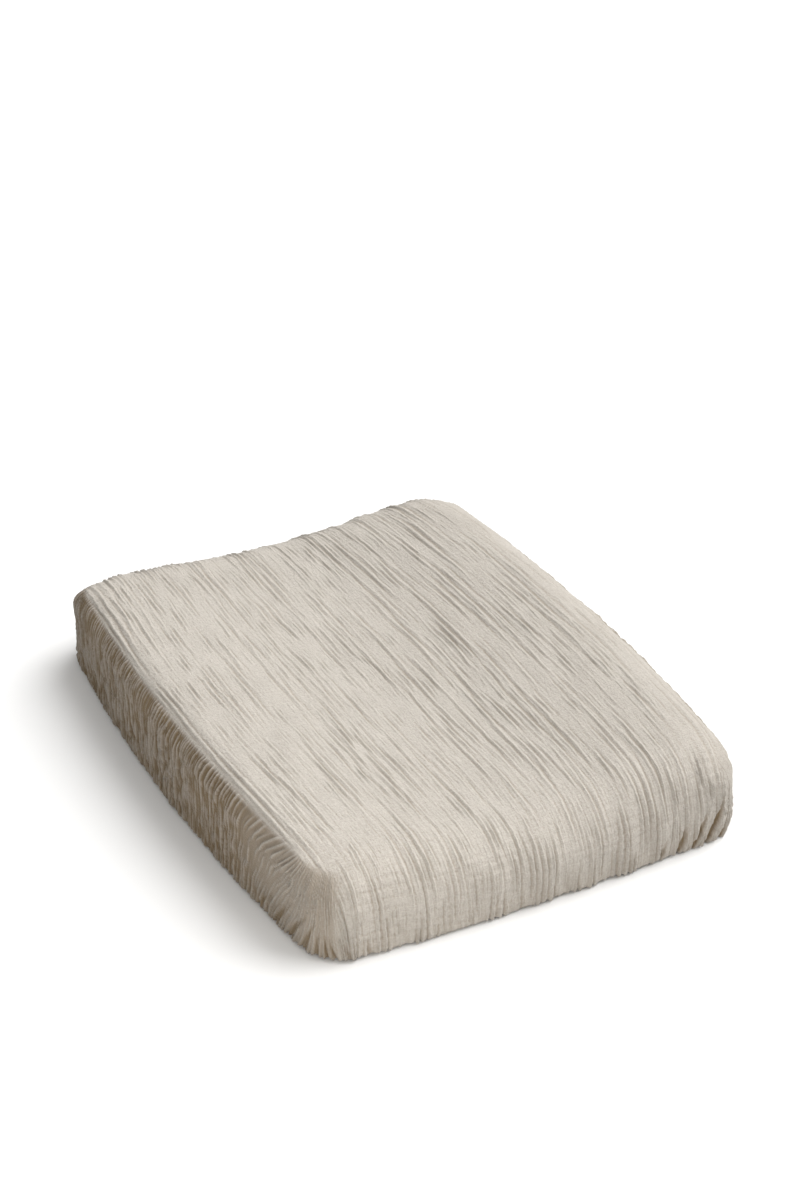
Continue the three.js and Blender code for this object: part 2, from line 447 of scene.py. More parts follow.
def mix(nt, fac, a, b, mode="MIX"):
    n = nt.nodes.new("ShaderNodeMix")
    n.data_type = "RGBA"
    n.blend_type = mode
    if isinstance(fac, (int, float)):
        n.inputs[0].default_value = fac
    else:
        nt.links.new(fac, n.inputs[0])
    for i, v in ((6, a), (7, b)):
        if isinstance(v, tuple):
            n.inputs[i].default_value = (*v, 1.0)
        else:
            nt.links.new(v, n.inputs[i])
    return n.outputs[2]


def bump(nt, height, strength, distance, normal=None):
    n = nt.nodes.new("ShaderNodeBump")
    n.inputs["Strength"].default_value = strength
    n.inputs["Distance"].default_value = distance
    nt.links.new(height, n.inputs["Height"])
    if normal is not None:
        nt.links.new(normal, n.inputs["Normal"])
    return n.outputs[0]


def attribute(nt, name):
    n = nt.nodes.new("ShaderNodeAttribute")
    n.attribute_name = name
    return n.outputs["Fac"]


def muslin(name, light, dark, deep):
    """Crinkled double gauze: slubby plain weave, with painted shade: a warm dark brown mixed in by the attribute
    of painted crease shade, so the creases read darker and warmer than the ridges."""
    m, nt, b = material(name)
    uv = node(nt, "ShaderNodeUVMap", uv_map="OFBake").outputs[0]
    co = node(nt, "ShaderNodeTexCoord").outputs["Object"]
    # slubs: threads a little thicker or darker, along and across
    warp = noise(nt, mapped(nt, uv, (900, 60, 1)), 1.0, 3.0, 0.6)
    weft = noise(nt, mapped(nt, uv, (60, 900, 1)), 1.0, 3.0, 0.6)
    speck = noise(nt, co, 520.0, 3.0, 0.65)
    cloud = noise(nt, co, 14.0, 3.0, 0.55)
    threads = math_node(nt, "MULTIPLY", math_node(nt, "ADD", warp, weft), 0.5)
    tone = math_node(nt, "ADD", threads, math_node(nt, "MULTIPLY", speck, 0.9))
    tone = math_node(nt, "ADD", tone, math_node(nt, "MULTIPLY", cloud, 0.25))
    tone = math_node(nt, "SUBTRACT", tone, 0.575)
    base = ramp(nt, tone, [(0.25, dark), (0.75, light)])
    # painted shade: the base colour goes towards the dark brown where the attribute of painted crease shade is
    # high
    painted_crease_shade = attribute(nt, "painted_crease_shade")
    base = mix(nt, painted_crease_shade, base, deep)
    nt.links.new(base, b.inputs["Base Color"])
    rough = math_node(nt, "MULTIPLY_ADD", speck, 0.12, 0.84)
    nt.links.new(rough, b.inputs["Roughness"])
    b.inputs["Sheen Weight"].default_value = 0.18
    b.inputs["Sheen Roughness"].default_value = 0.45
    b.inputs["Sheen Tint"].default_value = (1.0, 0.97, 0.93, 1.0)
    b.inputs["Specular IOR Level"].default_value = 0.2
    # crepe: small puckers between the creases, over the open weave
    pucker = noise(nt, mapped(nt, uv, (330, 170, 1)), 1.0, 3.0, 0.65)
    h = math_node(nt, "ADD", math_node(nt, "MULTIPLY", pucker, 1.0), math_node(nt, "MULTIPLY", threads, 0.35))
    h = math_node(nt, "ADD", h, math_node(nt, "MULTIPLY", speck, 0.55))
    nt.links.new(bump(nt, h, 0.85, 0.0014), b.inputs["Normal"])
    return m


# ------------------------------------------------------------ the muslin cover
NX, NY = ((600, 240))

ROUNDS = np.linspace(90, 0, 49)[1:]
N_WALL = 22


def wall_ring(f):
    """A ring between the foot of the rounding and the top of the curl."""

    def made(o):
        p, pz, n = o.round_ring(0.0)
        return p, pz * (1 - f) + WALL_Z * f, n

    return made


def curl_ring(k):
    """A ring of the curl in under the mat; k from 90 (wall) to 0 (flat)."""
    a = math.radians(k)
    off = WALL_Z * (1 - math.sin(a))
    z = 0.7 + (WALL_Z - 0.7) * (1 - math.cos(a))
    return lambda o: o.low_ring(off, z)


rings = [lambda o, d=d: o.round_ring(d) for d in ROUNDS]
n_round = len(rings)
rings += [wall_ring(f) for f in np.linspace(0, 1, N_WALL + 1)[1:]]
n_wall = len(rings)
rings += [curl_ring(k) for k in (78, 66, 54, 42, 30, 18, 8, 0)]
n_curl = len(rings)
rings += [
    (lambda o, s=s: o.low_ring(s, 0.9)) for s in np.linspace(10, 41, 8)[1:]
]

skin = Skin(NX, NY, rings)
v, f = skin.v, skin.f
nrm = normals(v, f)

# where each vertex is
o = skin.o
st = skin.station
on_wall = st >= 0
ring_no = skin.ring_of
wall_arc_ring = solid(o.round_ring(0.0))
step = np.linalg.norm(np.roll(wall_arc_ring, -1, 0) - wall_arc_ring, axis=1)
arc_at = np.concatenate([[0], np.cumsum(step)[:-1]])
arc_len = step.sum()
nx_, ny_ = skin.dir[:, 0], skin.dir[:, 1]
arc = np.zeros(len(v))
# where the plan widens or narrows, a point lies further along than its station
shift = ((v[on_wall, :2] - wall_arc_ring[st[on_wall], :2]) * np.stack([-ny_, nx_], 1)[on_wall]).sum(1)
arc[on_wall] = arc_at[st[on_wall]] + np.where(v[on_wall, 2] > 30, shift, 0.0)
z = v[:, 2]
S, T = skin.flat[:, 0], skin.flat[:, 1]

# signed distance along the wall from the nearest corner
CORNERS = ((1, 1), (-1, 1), (-1, -1), (1, -1))
corner_arcs = []
for sx, sy in CORNERS:
    d = (o.n[:, 0] - sx * math.sqrt(0.5)) ** 2 + (o.n[:, 1] - sy * math.sqrt(0.5)) ** 2
    corner_arcs.append(arc_at[int(np.argmin(d))])
dist = np.full(len(v), 1e9)
for ca in corner_arcs:
    d = (arc - ca + arc_len / 2) % arc_len - arc_len / 2
    dist = np.where(np.abs(d) < np.abs(dist), d, dist)
dist = np.where(on_wall, dist, 1e9)

sway = Field(60.0, 0.5, None, 18)
drift = Field(190.0, 0.4, None, 19)
patch = Field(90.0, 0.5, None, 16)
patch2 = Field(45.0, 0.5, None, 17)

# 1. crinkle: long, narrow creases along the mat between soft pillows. They
# run over the two ends and down them. Finer on the left, broader on the right.
c12 = Field(12.0, 0.22, 1.7, 11)
c8 = Field(7.6, 0.22, 2.0, 12)
c6 = Field(5.4, 0.22, 2.6, 13)
c4 = Field(4.0, 0.22, 5.0, 14)
Sw = S + 0.8 * drift(S * 0.6, T * 0.8) + 0.09 * sway(S + 300, T * 3.0)
across = np.clip((S + 190.0) / 330.0, 0, 1)
R = (
    (0.10 + 0.42 * across) * c12(Sw, T)
    + (0.74 + 0.10 * across) * c8(Sw + 300, T + 77)
    + (0.80 - 0.20 * across) * c6(Sw + 500, T)
    + 0.45 * c4(Sw, T)
)
R = 1.6 * np.tanh(R / 1.6)
amp = np.clip(1.05 + 0.14 * patch(S * 0.8, T * 0.3) + 0.12 * patch2(S, T * 0.3), 0.6, 1.5)
valley = folds(R, 4.0, 0.30)
ridge = folds(-R, 4.0, 0.45)
top_h = 3.05 * amp * (0.66 * ridge - 0.48 * valley + 0.26 * R) + 0.35
# the pinned grid of the double gauze: faint lines across, nearly 1 cm apart
cross = Field(9.6, 0.10, 2.0, 15)
cross2 = Field(5.2, 0.18, 3.0, 24)
tc = T + 1.2 * sway(T * 0.4, S * 0.4)
cross_n = 1.1 * np.tanh(1.5 * cross(tc, S))
lines = folds(cross_n, 4.0, 0.55) + 0.5 * folds(np.tanh(1.2 * cross2(tc, S + 60)), 4.0, 0.6)
near_left = smooth(-S, 90.0, 190.0)
near_end = smooth(np.abs(T), 255.0, 330.0)
far_end = smooth(T, 150.0, 300.0)
grid_amp = np.clip(0.34 + 0.10 * patch(T * 0.7 + 400, S) + 0.35 * near_left + 0.70 * near_end + 0.35 * far_end, 0.10, 1.5)
top_h = top_h * (1 - 0.16 * np.clip(grid_amp, 0, 1) * cross_n) - 0.42 * grid_amp * lines
top_h = top_h + 0.4 * patch2(S * 0.9 + 90, T * 0.5 + 40)

# 2. side walls: upright gathers in narrow standing folds, which lean towards
# the nearest corner as they rise
w_long = nx_**2
reach = np.abs(dist)
fan = smooth(-T, 120.0, 280.0) * smooth(-S, 100.0, 200.0)
pull = 42.0 - w_long * (30.0 - 64.0 * fan)
fade = 115.0 + 80.0 * w_long
lean = np.where(
    on_wall,
    np.sign(dist) * pull * np.tanh(reach / 34.0) * np.exp(-((np.minimum(reach, 900.0) / fade) ** 2)),
    0.0,
)
arc2 = arc + lean * np.clip(z / 100.0, 0, 1.1) ** 1.15
g24 = Field(24.0, 0.3, 8.0, 20)
g9 = Field(8.6, 0.22, 4.0, 21)
g6 = Field(5.4, 0.22, 4.0, 22)
g4 = Field(3.9, 0.22, 5.0, 23)
wave_in = 0.35 * sway(arc * 0.9, z * 2.6)
ga = arc2 + wave_in
RS = 0.12 * g24(ga, z) + 0.26 * g9(ga + 100, z) + 0.72 * g6(ga + 200, z + 50) + 0.92 * g4(ga, z)
RS = 1.9 * np.tanh(RS / 1.9)
wall_amp = np.clip(1.0 + 0.25 * patch(arc * 0.6, z), 0.5, 1.5)
side_fold = folds(RS, 3.4, -0.35)
# calmer towards the near left corner, where the cloth is stretched smooth
calm = 1 - 0.45 * smooth(-T, 110.0, 300.0) * smooth(-S, 150.0, 220.0)
calm = calm * (1 - 0.70 * smooth(-T, 190.0, 290.0) * smooth(S, 150.0, 220.0))
side_h = wall_amp * calm * (1.60 + 0.55 * smooth(98.0 - z, 0, 30)) * (side_fold - 0.95)

# the gathers take over from the crinkle round the top edge of the long sides
turn = np.where(on_wall, np.clip(ring_no / n_round, 0, 1), 0.0)
edge_turn = np.where(nx_ < 0, 0.40, 0.44)
w_side = smooth((turn - edge_turn) / 0.18, 0, 1) * smooth(w_long, 0.06, 0.42)
h = top_h * (1 + 0.95 * near_end) * (1 - w_side) + side_h * w_side

# 3. drawn in by the elastic: closer folds towards the hem
low = np.clip((34.0 - z) / 34.0, 0, 1) * on_wall
p12 = Field(12.0, 0.25, 7.0, 31)
p7 = Field(7.0, 0.25, 8.0, 32)
RP = 0.8 * p12(arc2, z * 0.8) + 0.6 * p7(arc2 + 50, z * 0.8)
h = h + (0.55 * folds(RP, 2.4, 0.1) - 0.3) * low**1.2 * (0.45 + 0.55 * calm)

# 4. pleats at the corners: flat-bottomed recesses between standing folds.
# (distance from the corner, half width, depth, height)
PLEATS = {
    (1, -1): [(-104, 3.0, 1.6, 34), (-80, 3.6, 2.4, 42), (-60, 4.2, 3.2, 50), (-42, 4.4, 4.0, 60),
              (-25, 4.2, 4.4, 64), (-9, 3.6, 2.4, 60), (7, 3.8, 2.8, 62), (24, 4.2, 4.0, 60),
              (42, 4.2, 3.4, 52), (62, 3.6, 2.4, 42), (86, 3.2, 1.6, 34)],
    (-1, -1): [(-112, 3.4, 1.3, 40), (-84, 4.2, 1.5, 52), (-58, 4.6, 1.7, 58), (-34, 4.4, 1.6, 54),
               (-14, 3.6, 1.3, 42), (3, 3.0, 1.5, 34), (14, 2.6, 1.5, 30), (30, 3.2, 1.0, 28), (52, 3.4, 0.9, 24)],
    (-1, 1): [(-90, 3.4, 1.8, 38), (-62, 4.0, 2.6, 46), (-38, 4.2, 3.2, 54), (-17, 3.8, 3.4, 56),
              (2, 3.6, 3.6, 56), (20, 4.0, 3.4, 58), (42, 4.2, 3.0, 52), (68, 3.8, 2.2, 42), (98, 3.2, 1.6, 34)],
    (1, 1): [(-96, 3.2, 1.6, 34), (-70, 3.8, 2.4, 44), (-47, 4.2, 3.2, 52), (-26, 4.2, 3.8, 58),
             (-8, 3.6, 3.8, 58), (9, 3.8, 3.8, 58), (28, 4.2, 3.6, 56), (50, 4.0, 2.8, 48), (76, 3.6, 2.0, 38)],
}
tilt = 0.42 + 0.40 * w_long
pleat = np.zeros(len(v))
bulk = np.zeros(len(v))
wander = 1.3 * sway(arc * 0.5 + 700, z * 1.1)
for (key, rows), ca in zip([(c, PLEATS[c]) for c in CORNERS], corner_arcs):
    d = (arc - ca + arc_len / 2) % arc_len - arc_len / 2
    near = on_wall & (np.abs(d) < 190)
    u_all = d + np.sign(d) * tilt * np.tanh(np.abs(d) / 14.0) * np.clip(z, 0, 90) + wander
    for at, w, deep, tall in rows:
        u = u_all - at
        env = 1 - smooth(z, 0.30 * tall, tall)
        wide = w * (0.65 + 0.35 * env)
        recess = -deep * np.exp(-((np.abs(u) / wide) ** 4.5))
        lips = 0.42 * deep * np.exp(-(((np.abs(u) - wide - 1.4) / 1.4) ** 2))
        pleat += np.where(near, (recess + lips) * env, 0.0)
        bulk += np.where(near, 0.26 * deep * env * np.exp(-((u / 16.0) ** 2)), 0.0)
h = h * np.where(on_wall, 1 - 0.35 * np.clip(bulk / 2.0, 0, 1), 1.0) + pleat + bulk

# under the mat the sheet lies flatter
under = smooth(ring_no, n_wall + 3, n_curl)
h = np.where(on_wall, h * (1 - 0.6 * under), h)
h = np.maximum(h, -1.9)
pos = v + nrm * h[:, None]
# the foot lifts off the floor a little where the cloth is drawn in
foot = smooth(ring_no, n_wall - 3, n_wall + 2) * on_wall
rise = np.clip(0.08 * folds(RP, 2.0, 0.2) - 0.16 * np.minimum(pleat, 0), 0, 1.4)
pos[:, 2] += foot * rise
pos[:, 2] = np.maximum(pos[:, 2], 0.35)

# painted shade for the material: how far a point lies below what is round it, so the creases, gathers, pleat
# recesses and elastic folds are coloured darker
painted_shade_top = np.clip(0.55 * (valley - 0.35) + 0.25 * lines * grid_amp, 0, 1) * 0.58
painted_shade_side = np.clip(1.85 - 1.02 * side_fold, 0.40, 0.98) * calm**1.2 * (1 - 0.75 * under)
painted_crease_shade = painted_shade_top * (1 - w_side) + painted_shade_side * w_side
painted_crease_shade = np.clip(painted_crease_shade + np.clip(-pleat / 3.0, 0, 1) * 1.0 + low * np.clip(0.5 - 0.5 * folds(RP, 2.4, 0.1), 0, 1) * 0.5, 0, 1)

span = max(np.ptp(S), np.ptp(T))
uv = np.column_stack([(S - S.min()) / span, (T - T.min()) / span]) * 0.98 + 0.01

# the right wall stands in the light, so the painted shade in its creases is weaker
to_right = smooth(pos[:, 0] / np.abs(pos[:, 0]).max(), 0.1, 0.5)
painted_crease_shade = painted_crease_shade * (1 - 0.55 * w_side * to_right)
cloth = make("muslin_sheet", pos, f, uv=uv, attrs={"painted_crease_shade": painted_crease_shade})
# cloth colours: light and dark slub tones, then the warm dark brown of the painted crease shade
CLOTH_TONES_AND_SHADE = ((0.492, 0.458, 0.414), (0.358, 0.328, 0.290), (0.185, 0.135, 0.080))
cloth.data.materials.append(muslin("muslin", *CLOTH_TONES_AND_SHADE))
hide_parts("muslin_cover")
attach(cloth, "cover")


# ------------------------------------------------------------ ring-built pieces
def ring_arcs(o, off):
    p = solid(o.low_ring(off, 0.0))
    d = np.linalg.norm(np.roll(p, -1, 0) - p, axis=1)
    return np.concatenate([[0], np.cumsum(d)[:-1]]), d.sum()


def band(o, profile, uv_turns=1.0):
    """A closed band round the mat: profile is a list of (off, z) arrays."""
    n = len(o.n)
    verts, faces = [], []
    for off, zz in profile:
        off = np.broadcast_to(off, n)
        zz = np.broadcast_to(zz, n)
        base, _, n2 = o.low_ring(float(np.mean(off)), 0.0)
        p = base - n2 * (off - float(np.mean(off)))[:, None]
        verts.append(np.column_stack([*bulge(p[:, 0], p[:, 1]), zz]))
    m = len(profile)
    for k in range(m):
        a = k * n + np.arange(n)
        b = ((k + 1) % m) * n + np.arange(n)
        faces.append(ring_faces(a, b))
    uv = np.column_stack(
        [np.tile(np.arange(n) / n, m), np.repeat(np.arange(m) / m, n)]
    )
    return np.concatenate(verts), np.concatenate(faces), uv


def flat_uv(v):
    span = max(np.ptp(v[:, 0]), np.ptp(v[:, 1]))
    return (v[:, :2] - v[:, :2].min(0)) / span * 0.98 + 0.01


def to_pole(o, skin_v, faces, last, steps, height, wrinkle=None):
    """Closes a skin underneath: rings shrinking to a point in the middle."""
    ring = skin_v[last]
    verts, fs, count = [], [], len(skin_v)
    prev = last
    for t in np.linspace(1, 0, steps + 1)[1:-1]:
        p = ring.copy()
        p[:, :2] *= t
        p[:, 2] = height
        if wrinkle is not None:
            p[:, 2] += wrinkle(p[:, 0], p[:, 1]) * smooth(1 - t, 0.0, 0.08)
        now = count + np.arange(len(ring))
        fs.append(ring_faces(prev, now))
        verts.append(p)
        count += len(ring)
        prev = now
    verts.append(np.array([[0.0, 0.0, height]]))
    tris = np.stack([prev, np.full(len(prev), count), np.roll(prev, -1)], 1)
    return np.concatenate([skin_v] + verts), [np.concatenate([faces[0]] + fs)] + faces[1:] + [tris]


def between(first, second, f):
    """A ring part of the way from one ring to another."""

    def made(o):
        (p, pz, n), (q, qz, _) = first(o), second(o)
        return p * (1 - f) + q * f, pz * (1 - f) + qz * f, n

    return made


def box_mesh(centre, along, side, up, size):
    """A small block; sizes along, across and up."""
    c = np.array(centre, float)
    out = []
    for sx, sy, sz in ((-1, -1, -1), (1, -1, -1), (1, 1, -1), (-1, 1, -1), (-1, -1, 1), (1, -1, 1), (1, 1, 1), (-1, 1, 1)):
        taper = 0.62 if sz > 0 else 1.0
        out.append(c + along * sx * size[0] / 2 * taper + side * sy * size[1] / 2 * taper + up * sz * size[2] / 2)
    return np.array(out)


BOX_FACES = np.array([[0, 3, 2, 1], [4, 5, 6, 7], [0, 1, 5, 4], [1, 2, 6, 5], [2, 3, 7, 6], [3, 0, 4, 7]])

# --- materials of the inner pieces


def film_material(name, gloss):
    """Coated film: faint mottle, fine embossed grain, satin gloss."""
    m, nt, b = material(name)
    co = node(nt, "ShaderNodeTexCoord").outputs["Object"]
    mottle = noise(nt, co, 22.0, 4.0, 0.6)
    grain = node(nt, "ShaderNodeTexVoronoi", feature="SMOOTH_F1")
    grain.inputs["Scale"].default_value = 900.0
    nt.links.new(co, grain.inputs["Vector"])
    fine = noise(nt, co, 1500.0, 2.0, 0.6)
    base = ramp(nt, mottle, [(0.3, (0.600, 0.593, 0.570)), (0.7, (0.655, 0.650, 0.630))])
    base = mix(nt, math_node(nt, "MULTIPLY", fine, 0.10), base, (0.52, 0.51, 0.485))
    nt.links.new(base, b.inputs["Base Color"])
    nt.links.new(math_node(nt, "MULTIPLY_ADD", mottle, 0.16, gloss), b.inputs["Roughness"])
    b.inputs["Specular IOR Level"].default_value = 0.45
    b.inputs["Coat Weight"].default_value = 0.15
    b.inputs["Coat Roughness"].default_value = 0.3
    h = math_node(nt, "ADD", grain.outputs["Distance"], math_node(nt, "MULTIPLY", fine, 0.3))
    nt.links.new(bump(nt, h, 0.25, 0.0004), b.inputs["Normal"])
    return m


def foam_material(name):
    """Cut polyurethane foam: open cells of several sizes."""
    m, nt, b = material(name)
    co = node(nt, "ShaderNodeTexCoord").outputs["Object"]
    cells = node(nt, "ShaderNodeTexVoronoi")
    cells.inputs["Scale"].default_value = 700.0
    nt.links.new(co, cells.inputs["Vector"])
    large = node(nt, "ShaderNodeTexVoronoi")
    large.inputs["Scale"].default_value = 260.0
    nt.links.new(co, large.inputs["Vector"])
    cloud = noise(nt, co, 30.0, 4.0, 0.6)
    d = math_node(nt, "MULTIPLY", cells.outputs["Distance"], large.outputs["Distance"])
    # painted shade: the colour darkens into the pits of the cells, where the bump sinks
    base = ramp(nt, d, [(0.02, (0.50, 0.43, 0.27)), (0.25, (0.80, 0.74, 0.56))])
    base = mix(nt, math_node(nt, "MULTIPLY", cloud, 0.35), base, (0.84, 0.79, 0.64))
    nt.links.new(base, b.inputs["Base Color"])
    nt.links.new(math_node(nt, "MULTIPLY_ADD", cloud, 0.1, 0.86), b.inputs["Roughness"])
    nt.links.new(bump(nt, d, 0.6, 0.0012), b.inputs["Normal"])
    return m


def elastic_material(name):
    """Woven elastic: lengthways ribs, darker between the yarns, where the bump sinks."""
    m, nt, b = material(name)
    uv = node(nt, "ShaderNodeUVMap", uv_map="OFBake").outputs[0]
    co = node(nt, "ShaderNodeTexCoord").outputs["Object"]
    pick = noise(nt, mapped(nt, uv, (1700, 40, 1)), 1.0, 2.0, 0.5)
    rib = noise(nt, mapped(nt, uv, (30, 90, 1)), 1.0, 1.0, 0.4)
    fuzz = noise(nt, co, 1400.0, 3.0, 0.6)
    t = math_node(nt, "MULTIPLY", math_node(nt, "ADD", pick, rib), 0.5)
    base = ramp(nt, t, [(0.35, (0.66, 0.65, 0.61)), (0.62, (0.86, 0.855, 0.83))])
    nt.links.new(base, b.inputs["Base Color"])
    nt.links.new(math_node(nt, "MULTIPLY_ADD", fuzz, 0.15, 0.68), b.inputs["Roughness"])
    b.inputs["Sheen Weight"].default_value = 0.2
    nt.links.new(bump(nt, math_node(nt, "ADD", t, math_node(nt, "MULTIPLY", fuzz, 0.3)), 0.6, 0.0006), b.inputs["Normal"])
    return m


def label_material(name):
    """Satin tape: close filling yarns with a soft sheen."""
    m, nt, b = material(name)
    co = node(nt, "ShaderNodeTexCoord").outputs["Object"]
    yarn = noise(nt, mapped(nt, co, (2600, 500, 500)), 1.0, 2.0, 0.5)
    cloud = noise(nt, co, 90.0, 3.0, 0.5)
    t = math_node(nt, "MULTIPLY_ADD", cloud, 0.4, math_node(nt, "MULTIPLY", yarn, 0.6))
    nt.links.new(ramp(nt, t, [(0.35, (0.80, 0.79, 0.76)), (0.65, (0.90, 0.895, 0.875))]), b.inputs["Base Color"])
    nt.links.new(math_node(nt, "MULTIPLY_ADD", yarn, 0.18, 0.34), b.inputs["Roughness"])
    b.inputs["Sheen Weight"].default_value = 0.25
    nt.links.new(bump(nt, yarn, 0.4, 0.0003), b.inputs["Normal"])
    return m


# --- the film over the top and walls of the foam, drawn tight and slightly
# wrinkled, down to the weld
FILM = 2.6
wrink = Field(55.0, 0.45, None, 41)
wrink2 = Field(24.0, 0.35, 18.0, 42)
film_wall = lambda o: o.round_ring(0.0, FILM)
film_foot = lambda o: o.low_ring(FILM, 11.4)
film_rings = [lambda o, d=d: o.round_ring(d, FILM) for d in np.linspace(90, 0, 17)[1:]]
film_rings += [between(film_wall, film_foot, t) for t in np.linspace(0, 1, 15)[1:]]
fs = Skin(110, 140, film_rings, depth=FILM, split=1)
fn = normals(fs.v, fs.f)
FS, FT = fs.flat[:, 0], fs.flat[:, 1]
low_f = smooth(70.0 - fs.v[:, 2], 0.0, 50.0) * (fs.station >= 0)
f_arc, _ = ring_arcs(fs.o, FILM)
fa = np.where(fs.station >= 0, f_arc[np.maximum(fs.station, 0)], 0.0)
fh = 0.16 * wrink(FS, FT) + 0.08 * wrink2(FS, FT * 0.5)
fh = fh + 0.30 * low_f * (folds(wrink2(fa * 1.4, fs.v[:, 2] * 0.5), 2.0, 0.4) - 0.5)
fh = np.clip(fh, -0.7, 0.35) * np.where(fs.ring_of >= len(film_rings) - 2, 0.2, 1.0)
fv = fs.v + fn * fh[:, None]
film = make("film_top", fv, fs.f, uv=(fs.flat - fs.flat.min(0)) / np.ptp(fs.flat, 0).max() * 0.98 + 0.01)
film.data.materials.append(film_material("film", 0.36))
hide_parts("liner_top")
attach(film, "mat")

# --- base film: turned up to the weld, stepped over the hem, flat on the floor
edge_o = Outline(90, 120, 1)
base_profile = [(2.5, 9.4), (2.9, 8.2), (3.7, 6.9), (4.7, 5.6), (7.0, 5.15), (22.0, 5.1), (40.0, 5.1), (54.5, 5.1), (56.4, 4.9), (56.9, 4.2), (57.0, 1.4), (57.6, 0.35)]
bw = Field(40.0, 0.45, None, 43)
verts, faces, count, prev = [], [], 0, None
b_arc, _ = ring_arcs(edge_o, 30.0)
for off, zz in base_profile:
    p, pz, _ = edge_o.low_ring(off, zz)
    if 6 < off < 56:
        pz = pz + 0.10 * bw(b_arc * 1.3, np.full(len(p), off))
    verts.append(solid((p, pz)))
    now = count + np.arange(len(p))
    if prev is not None:
        faces.append(ring_faces(prev, now))
    prev, count = now, count + len(p)
bv, bf = to_pole(edge_o, np.concatenate(verts), [np.concatenate(faces)], prev, 40, 0.32, lambda x, y: np.clip(0.13 * bw(x, y), -0.2, 0.3))
base_film = make("film_base", bv, bf, uv=flat_uv(bv))
base_film.data.materials.append(film_material("film_base", 0.42))
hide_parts("liner_base")
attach(base_film, "mat")

# --- the weld: a pressed seam with a fine crimp
weld_o = Outline(420, 540, 1)
w_arc, _ = ring_arcs(weld_o, 2.6)
crimp = 0.10 * np.sin(2 * np.pi * w_arc / 2.4)
profile = []
for t in np.linspace(0, 2 * np.pi, 11)[:-1]:
    co_, si_ = math.cos(t), math.sin(t)
    profile.append(
        (2.55 - 0.62 * np.sign(co_) * abs(co_) ** 0.7 - crimp * co_, 10.4 + 0.95 * np.sign(si_) * abs(si_) ** 0.8 + 0.3 * crimp * si_)
    )
wv, wf, wuv = band(weld_o, profile)
weld = make("film_weld", wv, wf, uv=wuv)
weld.data.materials.append(film_material("film_weld", 0.28))
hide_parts("liner_weld")
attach(weld, "mat")

# --- foam core, its edges softened
FOAM = 4.2
foam_wall = lambda o: o.round_ring(0.0, FOAM)
foam_foot = lambda o: o.low_ring(FOAM, 13.0)
foam_rings = [lambda o, d=d: o.round_ring(d, FOAM) for d in np.linspace(90, 0, 13)[1:]]
foam_rings += [between(foam_wall, foam_foot, t) for t in np.linspace(0, 1, 9)[1:]]
foam_rings += [
    (lambda o, a=a, b=b: o.low_ring(a, b))
    for a, b in ((4.35, 11.0), (4.9, 9.2), (5.9, 7.6), (7.6, 6.7), (10.5, 6.4), (25.0, 6.4), (40.0, 6.4), (55.0, 6.4), (57.6, 6.0), (58.2, 5.0), (58.3, 3.0), (58.7, 1.7), (60.0, 1.1))
]
fo = Skin(70, 90, foam_rings, depth=FOAM, split=1)
cell = Field(9.0, 0.6, None, 44)
fon = normals(fo.v, fo.f)
foam_v = fo.v + fon * (0.10 * cell(fo.flat[:, 0] * 1.1, fo.flat[:, 1] * 1.1))[:, None]
foam_v, foam_f = to_pole(fo.o, foam_v, fo.f, fo.last, 26, 1.0)
foam = make("foam", foam_v, foam_f, uv=flat_uv(foam_v))
foam.data.materials.append(foam_material("foam"))
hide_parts("foam_core")
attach(foam, "mat")

# --- hem channel: the cloth folded over the elastic and gathered by it, with a
# topstitched edge and a threading slit at the far end
hem_o = Outline(400, 520, 1)
n_hem = len(hem_o.n)
h_arc, h_len = ring_arcs(hem_o, 47.0)
ruck = Field(9.0, 0.3, 25.0, 51)
ruck2 = Field(5.0, 0.3, 30.0, 52)
profile, painted_shade_hem = [], []
M_HEM = 18
for k in range(M_HEM):
    t = 2 * np.pi * k / M_HEM
    co_, si_ = math.cos(t), math.sin(t)
    off = 47.0 + 6.7 * np.sign(co_) * abs(co_) ** 0.55
    zz = 2.45 + 1.45 * np.sign(si_) * abs(si_) ** 0.6
    g = ruck(h_arc, np.full(n_hem, off * 0.8)) + 0.7 * ruck2(h_arc, np.full(n_hem, off + 300))
    gz = np.clip(0.26 * g, -0.5, 0.45) * np.sign(si_) * min(1.0, abs(si_) * 1.6)
    go = 0.55 * g * max(0.0, co_) - 0.25 * g * max(0.0, -co_)
    profile.append((off + go * 0.8, zz + gz))
    # painted shade: the hem is tinted towards the dark brown, more in the valleys of its rucks
    painted_shade_hem.append(np.clip(0.45 - 0.3 * g, 0, 1))
hv, hf, huv = band(hem_o, profile)
keep = np.ones(len(hf), bool)
mid = hv[hf].mean(1)
off_k = np.repeat(np.arange(M_HEM), n_hem)
inner = (off_k <= 0) | (off_k >= M_HEM - 1)
keep &= ~((mid[:, 1] > 200) & (np.abs(mid[:, 0]) < 8.0) & inner)
hf = hf[keep]
hem_painted_shade = np.concatenate(painted_shade_hem)
